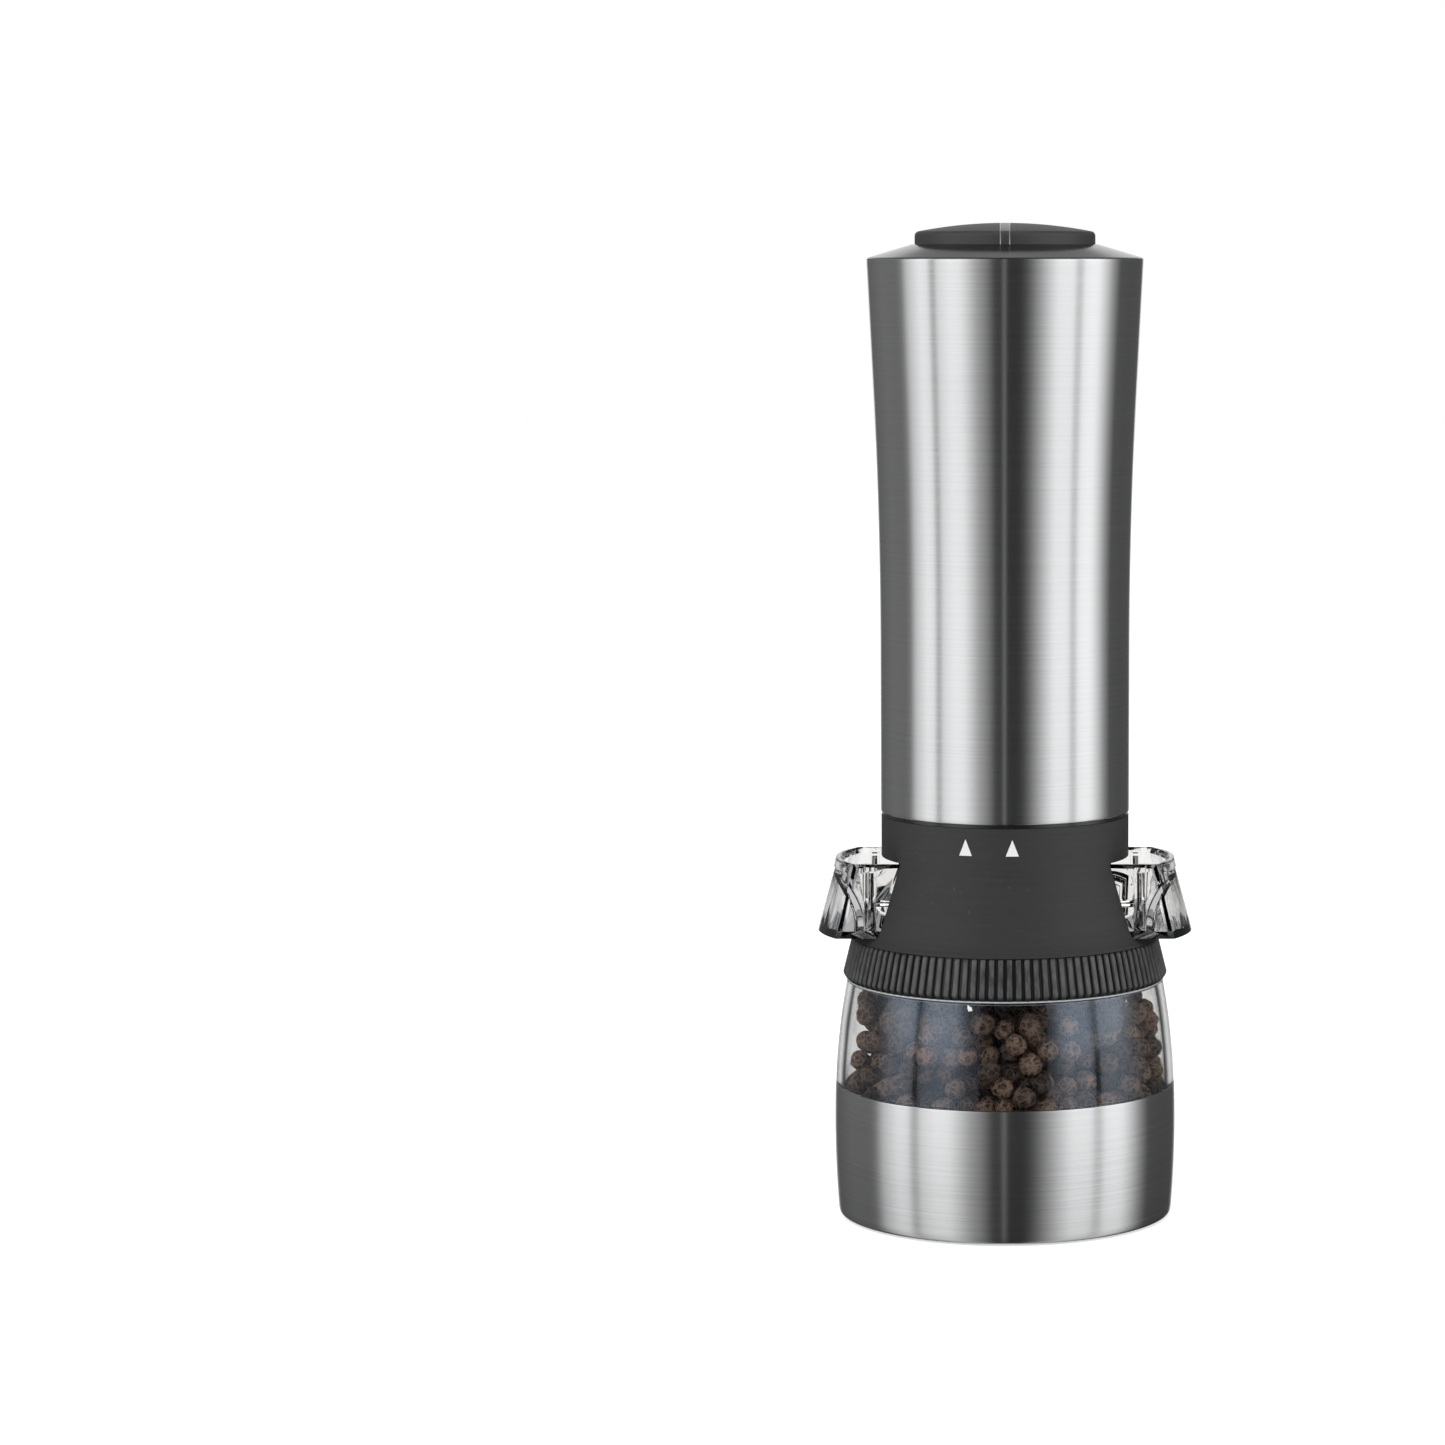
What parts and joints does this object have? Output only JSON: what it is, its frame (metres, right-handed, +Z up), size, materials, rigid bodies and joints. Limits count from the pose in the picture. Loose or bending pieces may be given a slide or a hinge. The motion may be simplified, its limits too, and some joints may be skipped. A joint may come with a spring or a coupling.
{
  "type": "battery pepper mill",
  "caption": "Battery pepper mill: flared steel body, split push-button, collar with clear filler drawers, knurled ring, clear hopper and steel base.",
  "frame": {"origin": "centre of the footprint, on the plane the mill stands on", "axes": "+Z up along the mill's axis, front towards -Y, filler drawers towards +X and -X"},
  "size_m": [0.0834, 0.076, 0.2199],
  "materials": {
    "brushed_steel": "brushed round the axis",
    "black_matte": "fine matte",
    "black_gloss": "satin gloss",
    "button_black": "soft matte",
    "rib_grey": "satin",
    "white_print": "printed",
    "clear_plastic": "clear, polished",
    "peppercorns": "dry, wrinkled",
    "white_ceramic": "fired",
    "knob_grey": "moulded",
    "zinc_steel": "plated",
    "spring_steel": "drawn wire",
    "gear_nylon": "moulded",
    "brass_pinion": "cut",
    "frame_grey": "moulded",
    "motor_steel": "plated",
    "magnet_ferrite": "sintered",
    "copper_winding": "enamelled wire",
    "contact_metal": "nickel plated",
    "board_green": "solder mask",
    "switch_black": "moulded",
    "battery_jacket": "plain printed jacket"
  },
  "bodies": {
    "base": {"base_sleeve": "brushed_steel", "base_core": "black_matte", "base_screws": "zinc_steel", "burr_holder": "black_matte", "outer_burr": "white_ceramic", "container": "clear_plastic", "peppercorn_fill": "peppercorns", "collar": "black_matte", "alignment_marks": "white_print", "shaft_bridge": "black_matte"},
    "locking_ring": {"knurled_ring": "black_matte"},
    "left_drawer": {"left_drawer": "clear_plastic"},
    "right_drawer": {"right_drawer": "clear_plastic"},
    "head": {"seal_ring": "black_gloss", "head_base": "black_matte", "gearbox_housing": "frame_grey", "gearbox_cover": "frame_grey", "ring_gear": "gear_nylon", "motor_can": "motor_steel", "motor_magnets": "magnet_ferrite", "motor_end_cap": "frame_grey", "inner_frame": "frame_grey", "battery_tray": "frame_grey", "battery_1": "battery_jacket", "battery_2": "battery_jacket", "battery_3": "battery_jacket", "battery_4": "battery_jacket", "lower_contacts": "contact_metal", "upper_contacts": "contact_metal", "switch_deck": "frame_grey", "switch_board": "board_green", "board_screws": "zinc_steel", "left_switch": "switch_black", "right_switch": "switch_black", "left_button_spring": "spring_steel", "right_button_spring": "spring_steel", "button_divider": "rib_grey", "top_cap": "black_gloss", "body_sleeve": "brushed_steel"},
    "left_button": {"left_button": "button_black"},
    "right_button": {"right_button": "button_black"},
    "motor_rotor": {"motor_armature": "copper_winding", "motor_shaft": "zinc_steel", "motor_pinion": "brass_pinion"},
    "upper_carrier": {"first_carrier": "gear_nylon"},
    "output": {"output_carrier": "gear_nylon", "drive_shaft": "zinc_steel", "burr_spring": "spring_steel"},
    "burr": {"inner_burr": "white_ceramic"},
    "knob": {"adjust_knob": "knob_grey"},
    "stage_1_planet_1": {"stage_1_planet_1": "gear_nylon"},
    "stage_1_planet_2": {"stage_1_planet_2": "gear_nylon"},
    "stage_1_planet_3": {"stage_1_planet_3": "gear_nylon"},
    "stage_2_planet_1": {"stage_2_planet_1": "gear_nylon"},
    "stage_2_planet_2": {"stage_2_planet_2": "gear_nylon"},
    "stage_2_planet_3": {"stage_2_planet_3": "gear_nylon"}
  },
  "joints": [
    {"name": "head_turn", "type": "hinge", "parent": "base", "child": "head", "pos_m": [0, 0, 0.1], "axis": [0, 0, 1], "range_deg": [0, 21.4]},
    {"name": "ring_turn", "type": "hinge", "parent": "base", "child": "locking_ring", "pos_m": [0, 0, 0.057], "axis": [0, 0, 1], "range_deg": [0, 30]},
    {"name": "left_drawer_slide", "type": "slide", "parent": "base", "child": "left_drawer", "axis": [1, 0, 0], "range_m": [0, 0.0092]},
    {"name": "right_drawer_slide", "type": "slide", "parent": "base", "child": "right_drawer", "axis": [-1, 0, 0], "range_m": [0, 0.0092]},
    {"name": "left_button_press", "type": "slide", "parent": "head", "child": "left_button", "axis": [0, 0, -1], "range_m": [0, 0.0012], "stiffness_N_per_m": 600, "springref_m": -0.0015, "deforming": ["left_button_spring"]},
    {"name": "right_button_press", "type": "slide", "parent": "head", "child": "right_button", "axis": [0, 0, -1], "range_m": [0, 0.0012], "stiffness_N_per_m": 600, "springref_m": -0.0015, "deforming": ["right_button_spring"]},
    {"name": "motor_spin", "type": "hinge", "parent": "head", "child": "motor_rotor", "pos_m": [0, 0, 0.1], "axis": [0, 0, 1], "continuous": true},
    {"name": "upper_carrier_spin", "type": "hinge", "parent": "head", "child": "upper_carrier", "pos_m": [0, 0, 0.1], "axis": [0, 0, 1], "continuous": true},
    {"name": "output_spin", "type": "hinge", "parent": "head", "child": "output", "pos_m": [0, 0, 0.1], "axis": [0, 0, 1], "continuous": true},
    {"name": "stage_1_planet_1_spin", "type": "hinge", "parent": "upper_carrier", "child": "stage_1_planet_1", "pos_m": [0.0108, 0, 0.09], "axis": [0, 0, 1], "continuous": true},
    {"name": "stage_1_planet_2_spin", "type": "hinge", "parent": "upper_carrier", "child": "stage_1_planet_2", "pos_m": [-0.0054, 0.00935, 0.09], "axis": [0, 0, 1], "continuous": true},
    {"name": "stage_1_planet_3_spin", "type": "hinge", "parent": "upper_carrier", "child": "stage_1_planet_3", "pos_m": [-0.0054, -0.00935, 0.09], "axis": [0, 0, 1], "continuous": true},
    {"name": "stage_2_planet_1_spin", "type": "hinge", "parent": "output", "child": "stage_2_planet_1", "pos_m": [0.0108, 0, 0.09], "axis": [0, 0, 1], "continuous": true},
    {"name": "stage_2_planet_2_spin", "type": "hinge", "parent": "output", "child": "stage_2_planet_2", "pos_m": [-0.0054, 0.00935, 0.09], "axis": [0, 0, 1], "continuous": true},
    {"name": "stage_2_planet_3_spin", "type": "hinge", "parent": "output", "child": "stage_2_planet_3", "pos_m": [-0.0054, -0.00935, 0.09], "axis": [0, 0, 1], "continuous": true},
    {"name": "burr_setting", "type": "slide", "parent": "output", "child": "burr", "axis": [0, 0, -1], "range_m": [0, 0.0007], "deforming": ["burr_spring"]},
    {"name": "knob_turn", "type": "hinge", "parent": "burr", "child": "knob", "pos_m": [0, 0, 0.004], "axis": [0, 0, 1], "range_deg": [0, 375]}
  ],
  "couplings": [
    {"joint": "upper_carrier_spin", "follows": "motor_spin", "ratio": 0.16667},
    {"joint": "output_spin", "follows": "motor_spin", "ratio": 0.027778},
    {"joint": "stage_1_planet_1_spin", "follows": "motor_spin", "ratio": -0.41667},
    {"joint": "stage_1_planet_2_spin", "follows": "motor_spin", "ratio": -0.41667},
    {"joint": "stage_1_planet_3_spin", "follows": "motor_spin", "ratio": -0.41667},
    {"joint": "stage_2_planet_1_spin", "follows": "motor_spin", "ratio": -0.069444},
    {"joint": "stage_2_planet_2_spin", "follows": "motor_spin", "ratio": -0.069444},
    {"joint": "stage_2_planet_3_spin", "follows": "motor_spin", "ratio": -0.069444},
    {"joint": "knob_turn", "follows": "burr_setting", "rad_per_m": 8976}
  ]
}
